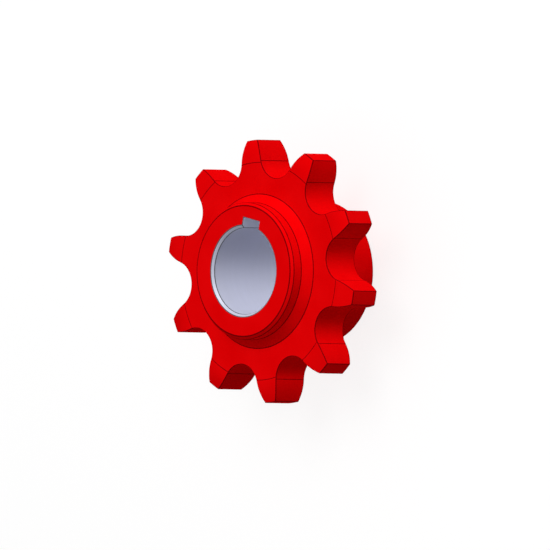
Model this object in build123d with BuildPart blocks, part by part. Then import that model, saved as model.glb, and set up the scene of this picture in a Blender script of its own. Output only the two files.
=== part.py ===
from build123d import *
from math import acos, asin, cos, degrees, hypot, radians, sin
import os

# Chain sprocket with a keyed bore, one solid, in millimetres.
# It stands on the end of its long hub. The origin is the centre of that end face,
# +Z runs along the bore to the short hub, and the keyway points to +Y, at a tooth gap.

# Chain
pitch = 25.4
roller_diameter = 15.88

# Toothed plate
tooth_count = 10
plate_thickness = 14.0
tip_above_pitch_circle = 4.7
relief_below_pitch_circle = 3.3

# Hub
long_hub_diameter = 49.4
long_hub_length = 18.5
short_hub_diameter = 47.6
short_hub_length = 7.5
shoulder_leg = 3.0
hub_chamfer = 1.0

# Bore and keyway
bore_diameter = 30.0
bore_chamfer = 1.0
keyway_width = 8.0
keyway_depth = 3.3

# Stations along the bore
plate_back = long_hub_length
plate_front = plate_back + plate_thickness
overall_length = plate_front + short_hub_length

# Radii of the turned blank
pitch_radius = pitch / (2 * sin(radians(180 / tooth_count)))
tip_radius = pitch_radius + tip_above_pitch_circle
relief_radius = pitch_radius - relief_below_pitch_circle
long_hub_radius = long_hub_diameter / 2
short_hub_radius = short_hub_diameter / 2
bore_radius = bore_diameter / 2

# Side relief: an arc as large as the pitch, tangent to the plate's face
side_arc_radius = pitch
side_arc_sweep = degrees(asin((tip_radius - relief_radius) / side_arc_radius))

# Standard tooth form for a roller chain: a seat for the roller, then a convex flank
seat_radius = 0.505 * roller_diameter
seat_half_angle = 70 - 45 / tooth_count
flank_radius = 0.12 * roller_diameter * (tooth_count + 2)

# The flank's centre lies on the line from the roller through the end of its seat
flank_centre_x = pitch_radius - (seat_radius + flank_radius) * cos(radians(seat_half_angle))
flank_centre_y = (seat_radius + flank_radius) * sin(radians(seat_half_angle))
flank_centre_distance = hypot(flank_centre_x, flank_centre_y)
seat_end_x = pitch_radius - seat_radius * cos(radians(seat_half_angle))
seat_end_y = seat_radius * sin(radians(seat_half_angle))

# Each gap is cut this far past the tips
gap_overrun = 1.0
gap_radius = tip_radius + gap_overrun


def flank_angle(radius):
    """Angle at the flank's centre between the bore axis and the flank's point at a radius."""
    sides = flank_radius**2 + flank_centre_distance**2 - radius**2
    return degrees(acos(sides / (2 * flank_radius * flank_centre_distance)))


flank_sweep = flank_angle(gap_radius) - flank_angle(hypot(seat_end_x, seat_end_y))

# One tooth gap, on the X axis
with BuildSketch() as tooth_gap:
    with BuildLine():
        seat = CenterArc(
            center=(pitch_radius, 0),
            radius=seat_radius,
            start_angle=180 + seat_half_angle,
            arc_size=-2 * seat_half_angle,
        )
        flank = JernArc(seat @ 1, seat % 1, flank_radius, flank_sweep)
        far_flank = mirror(flank, about=Plane.XZ)
        ThreePointArc(flank @ 1, (gap_radius, 0), far_flank @ 1)
    make_face()

with BuildPart() as sprocket:
    # Turned blank: both hubs, their conical shoulders, and the plate with its relieved rim
    with BuildSketch(Plane.XZ):
        with BuildLine():
            front_relief = JernArc((relief_radius, plate_front), (1, 0), side_arc_radius, -side_arc_sweep)
            back_relief = JernArc((relief_radius, plate_back), (1, 0), side_arc_radius, side_arc_sweep)
            Line(front_relief @ 1, back_relief @ 1)
            Polyline(
                (relief_radius, plate_front),
                (short_hub_radius + shoulder_leg, plate_front),
                (short_hub_radius, plate_front + shoulder_leg),
                (short_hub_radius, overall_length),
                (0, overall_length),
                (0, 0),
                (long_hub_radius, 0),
                (long_hub_radius, plate_back - shoulder_leg),
                (long_hub_radius + shoulder_leg, plate_back),
                (relief_radius, plate_back),
            )
        make_face()
    revolve(axis=Axis.Z)

    # Teeth: one gap for each roller, with the first above the keyway
    with BuildSketch(Plane.XY.offset(plate_back)):
        with PolarLocations(0, tooth_count, start_angle=90):
            add(tooth_gap.sketch)
    extrude(amount=plate_thickness, mode=Mode.SUBTRACT)

    # Bore, right through
    Hole(bore_radius)

    # Bevelled rims at both ends, outside and in the bore
    end_circles = sprocket.edges().filter_by(GeomType.CIRCLE).group_by(Axis.Z)
    chamfer([end_circles[end].sort_by(SortBy.RADIUS)[-1] for end in (0, -1)], hub_chamfer)
    end_circles = sprocket.edges().filter_by(GeomType.CIRCLE).group_by(Axis.Z)
    chamfer([end_circles[end].sort_by(SortBy.RADIUS)[0] for end in (0, -1)], bore_chamfer)

    # Keyway, broached along the whole bore
    with BuildSketch(Plane.XY):
        Rectangle(keyway_width, bore_radius + keyway_depth, align=(Align.CENTER, Align.MIN))
    extrude(amount=overall_length, mode=Mode.SUBTRACT)

sprocket.part.label = "sprocket"
os.makedirs("parts", exist_ok=True)
export_step(sprocket.part, "parts/sprocket.step")
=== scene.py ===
from math import acos, asin, atan2, cos, hypot, pi, radians, sin, sqrt

import bmesh
import bpy
from mathutils import Matrix, Vector


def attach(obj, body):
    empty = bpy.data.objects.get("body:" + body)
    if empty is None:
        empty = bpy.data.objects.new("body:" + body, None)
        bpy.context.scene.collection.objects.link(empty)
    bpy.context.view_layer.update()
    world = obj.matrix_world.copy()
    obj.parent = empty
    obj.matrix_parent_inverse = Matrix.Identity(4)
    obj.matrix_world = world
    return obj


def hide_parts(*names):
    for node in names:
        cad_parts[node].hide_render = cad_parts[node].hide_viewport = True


# A red enamelled chain sprocket that stands on the end of its long hub, in metres.
# The bore runs along +Z, the short hub is on top, and the keyway points to +Y.

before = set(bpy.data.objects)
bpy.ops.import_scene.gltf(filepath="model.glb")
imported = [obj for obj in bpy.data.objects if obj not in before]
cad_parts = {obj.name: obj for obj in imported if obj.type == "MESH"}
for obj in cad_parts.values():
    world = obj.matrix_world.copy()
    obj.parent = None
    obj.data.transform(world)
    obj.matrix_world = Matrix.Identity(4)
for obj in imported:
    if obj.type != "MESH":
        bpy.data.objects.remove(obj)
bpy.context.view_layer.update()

MM = 0.001

# Sizes, as in the solid
PITCH = 25.4 * MM
ROLLER_DIAMETER = 15.88 * MM
TOOTH_COUNT = 10
PLATE_THICKNESS = 14.0 * MM
TIP_ABOVE_PITCH_CIRCLE = 4.7 * MM
RELIEF_BELOW_PITCH_CIRCLE = 3.3 * MM
LONG_HUB_RADIUS = 24.7 * MM
LONG_HUB_LENGTH = 18.5 * MM
SHORT_HUB_RADIUS = 23.8 * MM
SHORT_HUB_LENGTH = 7.5 * MM
SHOULDER_LEG = 3.0 * MM
HUB_CHAMFER = 1.0 * MM
BORE_RADIUS = 15.0 * MM
BORE_CHAMFER = 1.0 * MM
KEYWAY_HALF_WIDTH = 4.0 * MM
KEYWAY_DEPTH = 3.3 * MM

PITCH_RADIUS = PITCH / (2 * sin(pi / TOOTH_COUNT))
TIP_RADIUS = PITCH_RADIUS + TIP_ABOVE_PITCH_CIRCLE
RELIEF_RADIUS = PITCH_RADIUS - RELIEF_BELOW_PITCH_CIRCLE
SIDE_ARC_RADIUS = PITCH
PLATE_BACK = LONG_HUB_LENGTH
PLATE_FRONT = PLATE_BACK + PLATE_THICKNESS
TOP = PLATE_FRONT + SHORT_HUB_LENGTH
KEYWAY_FLOOR = BORE_RADIUS + KEYWAY_DEPTH

# Standard tooth form: a seat for the roller, then a convex flank up to the tip
SEAT_RADIUS = 0.505 * ROLLER_DIAMETER
SEAT_HALF_ANGLE = radians(70 - 45 / TOOTH_COUNT)
FLANK_RADIUS = 0.12 * ROLLER_DIAMETER * (TOOTH_COUNT + 2)

# What is broken off an edge, and from what angle between its faces on it counts as sharp
EDGE_BREAK = 0.18 * MM
SHARP_ANGLE = radians(30)
ROUND_PROFILE = 0.5

# Width of the painted shade lines, and of the painted shade band beside a broken rim
LINE_WIDTH = 0.25 * MM
RIM_BAND = 0.12 * MM

# Steps of the mesh
SEAT_STEPS = 13
FLANK_STEPS = 8
TIP_STEPS = 3
FACE_RINGS = 12
HUB_END_RINGS = 4
WALL_STEPS = 6
BORE_STEPS = 12
EDGE_STEPS = 3

# From the plate's rim to the first ring on its face, the room beside a corner of the keyway, and
# how near to a cut a corner of the mesh is used as it is
FACE_INSET = 0.8 * MM
CORNER_ROOM = 0.6 * MM
SNAP = 0.02 * MM

# How far a face's normal points along the bore's axis, at least, on the two faces of the plate
PLATE_FACE_NORMAL = 0.9

# Most that the weighted normals can favour a large face
LARGE_FACE_WEIGHT = 100


# Outline of the teeth

def half_gap():
    """Points from the middle of a tooth gap to the middle of the next tooth, gap on the X axis."""
    points = []
    # The two columns either side of where the seat meets the flank, half a line's width each, carry a
    # painted shade line
    line_start = SEAT_HALF_ANGLE - LINE_WIDTH / 2 / SEAT_RADIUS
    for a in [line_start * i / SEAT_STEPS for i in range(SEAT_STEPS + 1)] + [SEAT_HALF_ANGLE]:
        points.append(Vector((PITCH_RADIUS - SEAT_RADIUS * cos(a), SEAT_RADIUS * sin(a))))
    outward = Vector((cos(SEAT_HALF_ANGLE), -sin(SEAT_HALF_ANGLE)))
    along = Vector((sin(SEAT_HALF_ANGLE), cos(SEAT_HALF_ANGLE)))
    centre = points[-1] - outward * FLANK_RADIUS

    def angle_at_centre(radius):
        sides = FLANK_RADIUS**2 + centre.length_squared - radius**2
        return acos(sides / (2 * FLANK_RADIUS * centre.length))

    sweep = angle_at_centre(TIP_RADIUS) - angle_at_centre(points[-1].length)
    line_end = LINE_WIDTH / 2 / FLANK_RADIUS
    for i in range(FLANK_STEPS + 1):
        a = line_end + (sweep - line_end) * i / FLANK_STEPS
        points.append(centre + FLANK_RADIUS * (outward * cos(a) + along * sin(a)))
    start = atan2(points[-1].y, points[-1].x)
    middle = pi / TOOTH_COUNT
    for i in range(1, TIP_STEPS + 1):
        a = start + (middle - start) * i / TIP_STEPS
        points.append(Vector((TIP_RADIUS * cos(a), TIP_RADIUS * sin(a))))
    return points


def teeth_outline():
    """The whole outline, anticlockwise, from the middle of the gap above the keyway."""
    rising = half_gap()
    one_tooth = Matrix.Rotation(2 * pi / TOOTH_COUNT, 2)
    falling = [one_tooth @ Vector((p.x, -p.y)) for p in reversed(rising[1:-1])]
    points = []
    for k in range(TOOTH_COUNT):
        turn = Matrix.Rotation(pi / 2 + 2 * pi * k / TOOTH_COUNT, 2)
        points += [turn @ p for p in rising + falling]
    return points


def inset(points, distance):
    """The closed outline moved inwards by a distance, with mitred corners."""
    moved = []
    for i, p in enumerate(points):
        before = (p - points[i - 1]).normalized()
        after = (points[(i + 1) % len(points)] - p).normalized()
        normal_before = Vector((-before.y, before.x))
        normal_after = Vector((-after.y, after.x))
        mitre = (normal_before + normal_after).normalized()
        moved.append(p + mitre * (distance / mitre.dot(normal_before)))
    return moved


outline = teeth_outline()
angles = [atan2(p.y, p.x) for p in outline]
columns = len(outline)


# Loops of points: every loop has one point for each column of the mesh

def side_relief(radius):
    """How far a face of the plate falls back at a radius."""
    past = max(0.0, radius - RELIEF_RADIUS)
    return SIDE_ARC_RADIUS - sqrt(SIDE_ARC_RADIUS**2 - past**2)


def circle(radius, z):
    """A loop on a circle round the bore's axis."""
    return [Vector((radius * cos(a), radius * sin(a), z)) for a in angles]


def off_keyway(column):
    """Angle between a column and the middle of the keyway, on either side."""
    return abs((angles[column] - pi / 2 + pi) % (2 * pi) - pi)


def nearest_column(angle):
    """The column on the keyway's left that is nearest to an angle off the keyway's middle."""
    return min(range(columns // 2), key=lambda column: abs(off_keyway(column) - angle))


# Columns of the keyway's floor corner and of its wall's foot, counted from the keyway's middle
FLOOR_COLUMN = nearest_column(atan2(KEYWAY_HALF_WIDTH, KEYWAY_FLOOR))
FOOT_COLUMN = nearest_column(asin(KEYWAY_HALF_WIDTH / BORE_RADIUS)) + 1


def bore(radius, z):
    """The bore at one radius with the keyway cut into it, and room for a broken edge at each corner."""
    foot_angle = asin(KEYWAY_HALF_WIDTH / radius)
    foot_y = radius * cos(foot_angle)
    first_angle = foot_angle + CORNER_ROOM / radius
    first_off = off_keyway(FOOT_COLUMN + 1)
    loop = []
    for column in range(columns):
        side = -1 if column <= columns / 2 else 1
        steps = min(column, columns - column)
        if steps < FLOOR_COLUMN:
            x = (KEYWAY_HALF_WIDTH - CORNER_ROOM) * steps / (FLOOR_COLUMN - 1)
            loop.append(Vector((side * x, KEYWAY_FLOOR, z)))
        elif steps <= FOOT_COLUMN:
            down = (steps - FLOOR_COLUMN) / (FOOT_COLUMN - FLOOR_COLUMN)
            y = KEYWAY_FLOOR + (foot_y - KEYWAY_FLOOR) * down
            loop.append(Vector((side * KEYWAY_HALF_WIDTH, y, z)))
        else:
            round_share = (off_keyway(column) - first_off) / (pi - first_off)
            a = first_angle + (pi - first_angle) * round_share
            loop.append(Vector((side * radius * sin(a), radius * cos(a), z)))
    return loop


def between(start, end, steps):
    """Evenly spaced loops between two loops, without the first."""
    return [[p.lerp(q, i / steps) for p, q in zip(start, end)] for i in range(1, steps + 1)]


def plate_face(shoulder_radius, level, sign):
    """Rings from the plate's rim in to the shoulder, on one face; sign is +1 on the front."""
    rim = [Vector((p.x, p.y, 0)) for p in outline]
    near = [Vector((p.x, p.y, 0)) for p in inset(outline, FACE_INSET)]
    shoulder = circle(shoulder_radius, 0)
    rings = [rim, near] + between(near, shoulder, FACE_RINGS)
    for ring in rings:
        for p in ring:
            p.z = level - sign * side_relief(hypot(p.x, p.y))
    return rings


def wall_loops(back_rim, front_rim):
    """Loops up the teeth's wall between the two rims, with a narrow band beside each rim."""
    band = Vector((0, 0, EDGE_BREAK + RIM_BAND))
    lowest = [p + band for p in back_rim]
    highest = [p - band for p in front_rim]
    return [lowest] + between(lowest, highest, WALL_STEPS)


def sprocket_loops():
    """The closed surface's loops, down the bore and back up outside, and where parts of it start."""
    mouth = bore(BORE_RADIUS + BORE_CHAMFER, TOP)
    upper_rim = bore(BORE_RADIUS, TOP - BORE_CHAMFER)
    lower_rim = bore(BORE_RADIUS, BORE_CHAMFER)
    loops = [mouth, upper_rim] + between(upper_rim, lower_rim, BORE_STEPS)
    loops.append(bore(BORE_RADIUS + BORE_CHAMFER, 0))
    starts = {"outside": len(loops) - 1}

    back_face = plate_face(LONG_HUB_RADIUS + SHOULDER_LEG, PLATE_BACK, -1)
    front_face = plate_face(SHORT_HUB_RADIUS + SHOULDER_LEG, PLATE_FRONT, 1)
    loops += between(loops[-1], circle(LONG_HUB_RADIUS - HUB_CHAMFER, 0), HUB_END_RINGS)
    loops.append(circle(LONG_HUB_RADIUS, HUB_CHAMFER))
    loops += between(loops[-1], circle(LONG_HUB_RADIUS, PLATE_BACK - SHOULDER_LEG), WALL_STEPS)
    loops += list(reversed(back_face))
    starts["wall"] = len(loops) - 1
    loops += wall_loops(back_face[0], front_face[0])
    starts["front"] = len(loops)
    loops += front_face
    loops.append(circle(SHORT_HUB_RADIUS, PLATE_FRONT + SHOULDER_LEG))
    loops.append(circle(SHORT_HUB_RADIUS, TOP - HUB_CHAMFER))
    loops.append(circle(SHORT_HUB_RADIUS - HUB_CHAMFER, TOP))
    starts["rim_band"] = len(loops) - 1
    loops.append(circle(SHORT_HUB_RADIUS - HUB_CHAMFER - EDGE_BREAK - RIM_BAND, TOP))
    loops += between(loops[-1], mouth, HUB_END_RINGS)[:-1]
    return loops, starts


# Materials

ENAMEL_BRIGHTNESS = 0.7
# Painted shade: the dark red of the lines along broken edges and creases, beside the rims, where a seat
# meets a flank and where the side relief starts
SHADE_LINE_BRIGHTNESS = 0.17
BORED_BRIGHTNESS = 0.48
# Painted shade: the bore's chamfers take a darker copy of its steel
SHADED_CHAMFER_BRIGHTNESS = 0.43
# Painted shade: near-black steel along the broken edges round the bore and the keyway
STEEL_SHADE_LINE_BRIGHTNESS = 0.03

# The darkest and the brightest share of it that the uneven colour reaches
ENAMEL_SHARES = (0.965, 1.035)
STEEL_SHARES = (0.985, 1.015)

# The enamel's trace of green and blue where it is darkest and where it is brightest
ENAMEL_TRACES = ((0.0, 0.001), (0.001, 0.002))

# The steel's red, green and blue beside its red, and how it shines
STEEL_TINT = (1.0, 1.03, 1.26)
STEEL_METALLIC = 0.05
STEEL_ROUGHNESS = (0.42, 0.48)

# Detail and usual range of every noise, and the scale of each, in grains to a metre
NOISE_DETAIL = 2.0
NOISE_RANGE = (0.3, 0.7)
BLOTCHES = 90.0
ORANGE_PEEL = 950.0
BANDS = 600.0
GROOVES = 5000.0

# Share of its scale that the steel's noise keeps across the bore's axis, so that it runs round the bore
GROOVE_STRETCH = 0.02

# Strength and depth of the fine relief
PEEL_RELIEF = (0.12, 0.05 * MM)
GROOVE_RELIEF = (0.15, 0.02 * MM)


def new_material(name):
    """A material with its nodes, its links and its main shader."""
    material = bpy.data.materials.new(name)
    material.use_nodes = True
    nodes = material.node_tree.nodes
    return material, nodes, material.node_tree.links, nodes["Principled BSDF"]


def noise(nodes, links, vector, scale):
    """The value of a fine noise."""
    node = nodes.new("ShaderNodeTexNoise")
    node.inputs["Scale"].default_value = scale
    node.inputs["Detail"].default_value = NOISE_DETAIL
    links.new(vector, node.inputs["Vector"])
    return node.outputs["Fac"]


def spread(nodes, links, value, low, high):
    """Maps a noise's usual range to low and high."""
    node = nodes.new("ShaderNodeMapRange")
    node.inputs["From Min"].default_value = NOISE_RANGE[0]
    node.inputs["From Max"].default_value = NOISE_RANGE[1]
    node.inputs["To Min"].default_value = low
    node.inputs["To Max"].default_value = high
    links.new(value, node.inputs["Value"])
    return node.outputs["Result"]


def uneven_colour(nodes, links, shader, value, darker, brighter):
    """Gives a shader a colour that goes with a noise from a darker one to a brighter one."""
    mix = nodes.new("ShaderNodeMix")
    mix.data_type = "RGBA"
    mix.inputs["A"].default_value = (*darker, 1.0)
    mix.inputs["B"].default_value = (*brighter, 1.0)
    links.new(spread(nodes, links, value, 0.0, 1.0), mix.inputs["Factor"])
    links.new(mix.outputs["Result"], shader.inputs["Base Color"])


def fine_relief(nodes, links, shader, value, strength, depth):
    """Gives a shader a relief that goes with a noise."""
    bump = nodes.new("ShaderNodeBump")
    bump.inputs["Strength"].default_value = strength
    bump.inputs["Distance"].default_value = depth
    links.new(value, bump.inputs["Height"])
    links.new(bump.outputs["Normal"], shader.inputs["Normal"])


def enamel(name, brightness):
    """Red enamel with a faint orange peel, matte because the picture shows no highlight on it."""
    material, nodes, links, shader = new_material(name)
    place = nodes.new("ShaderNodeTexCoord").outputs["Object"]
    darker = (ENAMEL_SHARES[0] * brightness, *ENAMEL_TRACES[0])
    brighter = (ENAMEL_SHARES[1] * brightness, *ENAMEL_TRACES[1])
    uneven_colour(nodes, links, shader, noise(nodes, links, place, BLOTCHES), darker, brighter)
    shader.inputs["Specular IOR Level"].default_value = 0.0
    fine_relief(nodes, links, shader, noise(nodes, links, place, ORANGE_PEEL), *PEEL_RELIEF)
    return material


def bare_steel(name, brightness):
    """Machined steel: fine turned grooves round the bore, in bands of slightly uneven brightness."""
    material, nodes, links, shader = new_material(name)
    place = nodes.new("ShaderNodeTexCoord").outputs["Object"]
    stretch = nodes.new("ShaderNodeMapping")
    stretch.inputs["Scale"].default_value = (GROOVE_STRETCH, GROOVE_STRETCH, 1.0)
    links.new(place, stretch.inputs["Vector"])
    grooves = noise(nodes, links, stretch.outputs["Vector"], GROOVES)
    bands = noise(nodes, links, stretch.outputs["Vector"], BANDS)
    darker = [STEEL_SHARES[0] * brightness * tint for tint in STEEL_TINT]
    brighter = [STEEL_SHARES[1] * brightness * tint for tint in STEEL_TINT]
    uneven_colour(nodes, links, shader, bands, darker, brighter)
    shader.inputs["Metallic"].default_value = STEEL_METALLIC
    links.new(spread(nodes, links, bands, *STEEL_ROUGHNESS), shader.inputs["Roughness"])
    fine_relief(nodes, links, shader, grooves, *GROOVE_RELIEF)
    return material


# The sprocket

# Places of the finishes and of the painted shade in the mesh's list of materials
ENAMEL, SHADE_LINE, BORED, SHADED_CHAMFER, STEEL_SHADE_LINE = range(5)


def at_seat_end(j):
    """Whether column j of quads lies on the line where a seat runs into a flank."""
    a_tooth = columns // TOOTH_COUNT
    step = j % a_tooth
    return min(step, a_tooth - 1 - step) in (SEAT_STEPS, SEAT_STEPS + 1)


def quad_finish(i, j, starts):
    """Finish of the quad between loops i and i + 1, in column j, or the painted shade on it."""
    on_wall = starts["wall"] <= i < starts["front"]
    in_band = i in (starts["wall"], starts["front"] - 1, starts["rim_band"])
    # Painted shade lines on the bands beside the rims and where a seat meets a flank
    if in_band or on_wall and at_seat_end(j):
        return SHADE_LINE
    if i >= starts["outside"]:
        return ENAMEL
    at_rim = i in (0, starts["outside"] - 1)
    beside_keyway = FOOT_COLUMN <= j < columns - FOOT_COLUMN
    # The bore's chamfers, off the keyway, take the darker copy of its steel as painted shade
    return SHADED_CHAMFER if at_rim and beside_keyway else BORED


def edge_finish(p):
    """Painted shade on a broken edge: near-black steel round the bore and the keyway, and dark red
    elsewhere.
    """
    round_bore = hypot(p.x, p.y) < BORE_RADIUS + BORE_CHAMFER + EDGE_BREAK
    across_keyway = abs(p.x) < KEYWAY_HALF_WIDTH + EDGE_BREAK
    round_keyway = across_keyway and 0 < p.y < KEYWAY_FLOOR + EDGE_BREAK
    return STEEL_SHADE_LINE if round_bore or round_keyway else SHADE_LINE


def on_plate_face(face):
    """Whether a face belongs to the front or the back of the toothed plate."""
    middle = face.calc_center_median()
    past_shoulder = hypot(middle.x, middle.y) > LONG_HUB_RADIUS + SHOULDER_LEG
    return past_shoulder and abs(face.normal.z) > PLATE_FACE_NORMAL


def from_axis(vert):
    """Distance of a corner of the mesh from the bore's axis."""
    return hypot(vert.co.x, vert.co.y)


def cut_along(bm, radius):
    """Adds edges to the plate's two faces along a circle round the bore's axis.

    A corner that is already on the circle, or nearly, is used as it is, so that no sliver is left.
    """
    faces = [face for face in bm.faces if on_plate_face(face)]
    edges = [edge for edge in bm.edges if any(on_plate_face(face) for face in edge.link_faces)]
    corners = {vert for edge in edges for vert in edge.verts}
    on_circle = {vert for vert in corners if abs(from_axis(vert) - radius) < SNAP}
    for edge in edges:
        start, end = edge.verts
        apart = from_axis(end) - from_axis(start)
        crosses = (from_axis(start) - radius) * (from_axis(end) - radius) < 0
        if crosses and start not in on_circle and end not in on_circle:
            share = (radius - from_axis(start)) / apart
            on_circle.add(bmesh.utils.edge_split(edge, start, share)[1])
    for face in faces:
        ends = [vert for vert in face.verts if vert in on_circle]
        if len(ends) == 2 and bm.edges.get(ends) is None:
            bmesh.utils.face_split(face, ends[0], ends[1])


def mark_relief_line(bm):
    """A painted shade line along the circle where the teeth's side relief starts, though the surface
    runs on smoothly there.
    """
    inner = RELIEF_RADIUS - LINE_WIDTH / 2
    outer = RELIEF_RADIUS + LINE_WIDTH / 2
    cut_along(bm, inner)
    cut_along(bm, outer)
    for face in bm.faces:
        middle = face.calc_center_median()
        if on_plate_face(face) and inner < hypot(middle.x, middle.y) < outer:
            face.material_index = SHADE_LINE


def build_sprocket():
    """One closed mesh, with every sharp edge slightly broken."""
    loops, starts = sprocket_loops()
    bm = bmesh.new()
    rings = [[bm.verts.new(p) for p in loop] for loop in loops]
    for i, ring in enumerate(rings):
        following = rings[(i + 1) % len(rings)]
        for j in range(columns):
            k = (j + 1) % columns
            face = bm.faces.new((ring[j], ring[k], following[k], following[j]))
            face.material_index = quad_finish(i, j, starts)
    bmesh.ops.recalc_face_normals(bm, faces=bm.faces)
    mark_relief_line(bm)
    sharp = [edge for edge in bm.edges if edge.calc_face_angle() > SHARP_ANGLE]
    broken = bmesh.ops.bevel(
        bm, geom=sharp, offset=EDGE_BREAK, offset_type="OFFSET", affect="EDGES",
        segments=EDGE_STEPS, profile=ROUND_PROFILE, clamp_overlap=True, material=-1,
    )
    # Painted shade on every broken edge
    for face in broken["faces"]:
        face.material_index = edge_finish(face.calc_center_median())
    for face in bm.faces:
        face.smooth = True
    mesh = bpy.data.meshes.new("sprocket_body")
    bm.to_mesh(mesh)
    bm.free()
    mesh.materials.append(enamel("red_enamel", ENAMEL_BRIGHTNESS))
    # Painted shade: dark red for the lines along edges, creases and rims, and the seat and relief lines
    mesh.materials.append(enamel("painted_shade_line", SHADE_LINE_BRIGHTNESS))
    mesh.materials.append(bare_steel("bored_steel", BORED_BRIGHTNESS))
    # Painted shade: a darker copy of the bore's steel, for its chamfers
    mesh.materials.append(bare_steel("shaded_chamfer_steel", SHADED_CHAMFER_BRIGHTNESS))
    # Painted shade: near-black steel at the broken edges round the bore and the keyway
    mesh.materials.append(bare_steel("painted_steel_shade_line", STEEL_SHADE_LINE_BRIGHTNESS))
    body = bpy.data.objects.new("sprocket_body", mesh)
    bpy.context.scene.collection.objects.link(body)
    crisp = body.modifiers.new("crisp_faces", "WEIGHTED_NORMAL")
    crisp.mode = "FACE_AREA"
    crisp.weight = LARGE_FACE_WEIGHT
    return body


body = build_sprocket()
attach(body, "root")
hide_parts("sprocket")


# Camera: the photograph's parallel view, turned so that the bore's axis lies across the picture

PICTURE_WIDTH = 550
MM_PER_PIXEL = 0.3471
AXIS_PIXEL = (258.59, 271.25)
VIEW_TO_AXIS = radians(44.72)
ROLL = radians(-1.12)
PICTURE_RIGHT_IN_FACE = radians(10.85)

# How far the camera stands from the plate's front, and what it sees from there, in metres
CAMERA_DISTANCE = 0.6
NEAREST_SEEN = 0.01
FARTHEST_SEEN = 10.0

across = Vector((cos(PICTURE_RIGHT_IN_FACE), sin(PICTURE_RIGHT_IN_FACE), 0))
upright = Vector((-sin(PICTURE_RIGHT_IN_FACE), cos(PICTURE_RIGHT_IN_FACE), 0))
axis = Vector((0, 0, 1))
level = across * cos(VIEW_TO_AXIS) - axis * sin(VIEW_TO_AXIS)
to_camera = across * sin(VIEW_TO_AXIS) + axis * cos(VIEW_TO_AXIS)
camera_right = level * cos(ROLL) - upright * sin(ROLL)
camera_up = level * sin(ROLL) + upright * cos(ROLL)


def add_camera():
    pixel = MM_PER_PIXEL * MM
    data = bpy.data.cameras.new("camera")
    data.type = "ORTHO"
    data.ortho_scale = PICTURE_WIDTH * pixel
    data.clip_start = NEAREST_SEEN
    data.clip_end = FARTHEST_SEEN
    camera = bpy.data.objects.new("camera", data)
    bpy.context.scene.collection.objects.link(camera)
    middle = PICTURE_WIDTH / 2
    aim = axis * PLATE_FRONT
    aim += camera_right * (middle - AXIS_PIXEL[0]) * pixel
    aim -= camera_up * (middle - AXIS_PIXEL[1]) * pixel
    turned = Matrix((camera_right, camera_up, to_camera)).transposed()
    camera.matrix_world = Matrix.Translation(aim + to_camera * CAMERA_DISTANCE) @ turned.to_4x4()
    bpy.context.scene.camera = camera


add_camera()


# Light and background

# Each lamp's azimuth, from across towards upright, its height above the floor, its power in watts,
# and whether it throws shadows: the key lamp doesn't, because the picture has no cast shadows
LAMPS = {
    "key_lamp": (radians(65), radians(32), 90.0, False),
    "top_lamp": (radians(65), radians(60), 16.0, True),
    "fill_lamp": (radians(215), radians(20), 8.0, True),
}
LAMP_DISTANCE = 3.0
LAMP_SIZE = 1.8
AMBIENT = 0.32

# The floor: its grey, about how much light falls on it, and between what distances it turns white
FLOOR_SIZE = 4.0
FLOOR_GREY = 0.35
LIGHT_ON_FLOOR = 0.95
WHITENS_FROM = 0.2
WHITE_BEYOND = 0.8


def add_lamp(name, azimuth, height, power, throws_shadows):
    """A round soft lamp that looks at the sprocket."""
    data = bpy.data.lights.new(name, "AREA")
    data.shape = "DISK"
    data.size = LAMP_SIZE
    data.energy = power
    data.use_shadow = throws_shadows
    lamp = bpy.data.objects.new(name, data)
    bpy.context.scene.collection.objects.link(lamp)
    sideways = across * cos(azimuth) + upright * sin(azimuth)
    direction = sideways * cos(height) + axis * sin(height)
    lamp.location = axis * PLATE_FRONT + direction * LAMP_DISTANCE
    lamp.rotation_euler = direction.to_track_quat("Z", "Y").to_euler()


def seen_ray(nodes, links):
    """1 for a ray from the camera, or one that a surface mirrors or lets through."""
    path = nodes.new("ShaderNodeLightPath")
    total = path.outputs["Is Camera Ray"]
    for other in ("Is Glossy Ray", "Is Transmission Ray"):
        node = nodes.new("ShaderNodeMath")
        node.operation = "MAXIMUM"
        links.new(total, node.inputs[0])
        links.new(path.outputs[other], node.inputs[1])
        total = node.outputs[0]
    return total


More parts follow.
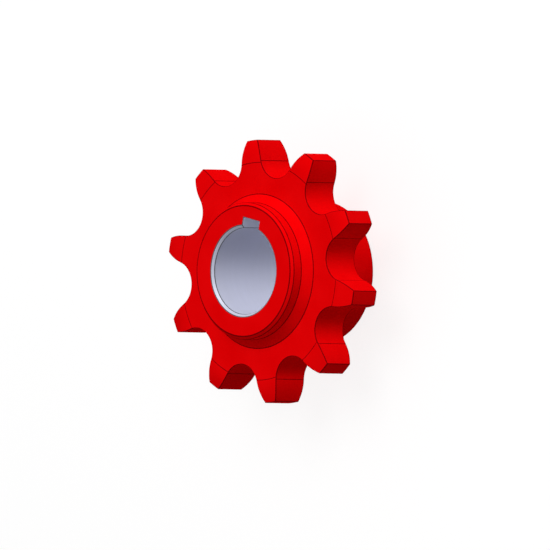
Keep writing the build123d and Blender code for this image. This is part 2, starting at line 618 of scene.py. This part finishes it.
def add_world():
    world = bpy.data.worlds.new("studio")
    bpy.context.scene.world = world
    world.use_nodes = True
    nodes, links = world.node_tree.nodes, world.node_tree.links
    background = nodes["Background"]
    background.inputs["Color"].default_value = (1.0, 1.0, 1.0, 1.0)
    strength = nodes.new("ShaderNodeMapRange")
    strength.inputs["To Min"].default_value = AMBIENT
    strength.inputs["To Max"].default_value = 1.0
    links.new(seen_ray(nodes, links), strength.inputs["Value"])
    links.new(strength.outputs["Result"], background.inputs["Strength"])


def add_floor():
    """A grey floor that the camera sees as white, with the sprocket's shadow on it."""
    half = FLOOR_SIZE / 2
    mesh = bpy.data.meshes.new("floor")
    corners = [(-half, -half, 0), (half, -half, 0), (half, half, 0), (-half, half, 0)]
    mesh.from_pydata(corners, [], [(0, 1, 2, 3)])
    floor = bpy.data.objects.new("floor", mesh)
    bpy.context.scene.collection.objects.link(floor)
    material, nodes, links, shader = new_material("floor")
    shader.inputs["Base Color"].default_value = (FLOOR_GREY, FLOOR_GREY, FLOOR_GREY, 1.0)
    shader.inputs["Roughness"].default_value = 1.0
    shader.inputs["Specular IOR Level"].default_value = 0.0
    place = nodes.new("ShaderNodeTexCoord").outputs["Object"]
    distance = nodes.new("ShaderNodeVectorMath")
    distance.operation = "LENGTH"
    links.new(place, distance.inputs[0])
    white = nodes.new("ShaderNodeMapRange")
    white.inputs["From Min"].default_value = WHITENS_FROM
    white.inputs["From Max"].default_value = WHITE_BEYOND
    white.inputs["To Min"].default_value = 1.0 - FLOOR_GREY * LIGHT_ON_FLOOR
    white.inputs["To Max"].default_value = 1.0
    links.new(distance.outputs["Value"], white.inputs["Value"])
    strength = nodes.new("ShaderNodeMath")
    strength.operation = "MULTIPLY"
    links.new(seen_ray(nodes, links), strength.inputs[0])
    links.new(white.outputs["Result"], strength.inputs[1])
    glow = nodes.new("ShaderNodeEmission")
    links.new(strength.outputs[0], glow.inputs["Strength"])
    total = nodes.new("ShaderNodeAddShader")
    links.new(shader.outputs[0], total.inputs[0])
    links.new(glow.outputs[0], total.inputs[1])
    links.new(total.outputs[0], nodes["Material Output"].inputs["Surface"])
    mesh.materials.append(material)


for name, settings in LAMPS.items():
    add_lamp(name, *settings)
add_world()
add_floor()
bpy.context.scene.view_settings.view_transform = "Standard"
